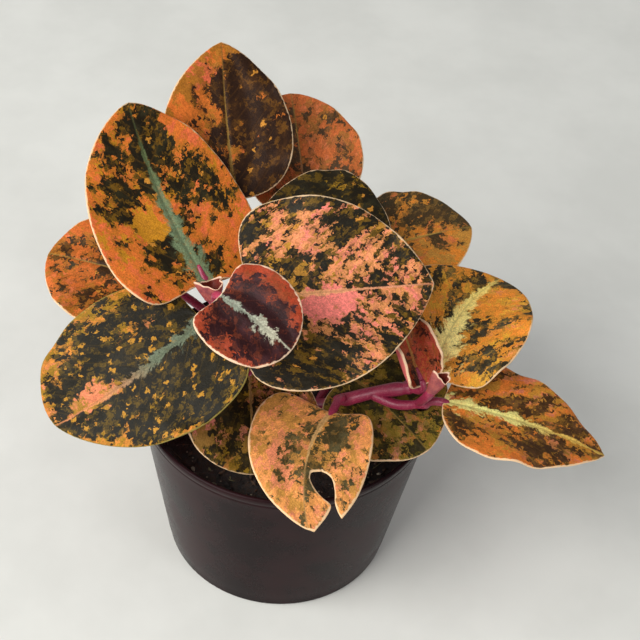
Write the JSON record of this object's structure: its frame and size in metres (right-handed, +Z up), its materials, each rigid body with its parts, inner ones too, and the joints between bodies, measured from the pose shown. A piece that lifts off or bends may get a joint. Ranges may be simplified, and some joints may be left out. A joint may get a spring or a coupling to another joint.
{
  "type": "potted peperomia",
  "caption": "Small variegated peperomia house plant: oval pointed leaves on short branching stems in a tapered round nursery pot of soil.",
  "frame": {"origin": "middle of the pot's underside, on the surface the pot stands on", "axes": "+Z up along the pot's axis; -Y is the plant's front, the side it is usually seen from; +X is to the right seen from the front"},
  "size_m": [0.1487, 0.1147, 0.1264],
  "materials": {
    "pot_plastic": "satin brown-black moulded plastic",
    "soil": "damp dark potting soil with bark and coir chips",
    "stem": "smooth fleshy magenta stem",
    "leaf": "waxy semi-gloss leaf, orange and pink blotched with dark green, cream margin",
    "dark_leaf": "waxy semi-gloss leaf, near-black green flecked with orange and yellow",
    "young_leaf": "waxy semi-gloss young leaf, deep red with a dark centre and cream margin"
  },
  "bodies": {
    "root": {"pot": "pot_plastic", "soil": "soil", "stem_left": "stem", "stem_right": "stem", "stem_back": "stem", "stem_back_right": "stem", "leaf_upper_left": "leaf", "leaf_top": "leaf", "leaf_top_back": "leaf", "leaf_dark_back": "dark_leaf", "leaf_centre": "leaf", "leaf_young_red": "young_leaf", "leaf_left_back": "leaf", "leaf_lower_left": "dark_leaf", "leaf_lower_inner": "dark_leaf", "leaf_front_notched": "leaf", "leaf_lower_right": "leaf", "leaf_young_folded": "young_leaf", "leaf_right_upper": "leaf", "leaf_right_back": "leaf", "leaf_right_tip": "leaf", "leaf_back_low": "leaf", "leaf_back_left_low": "leaf", "bud_left": "young_leaf", "bud_right": "young_leaf"}
  },
  "joints": []
}
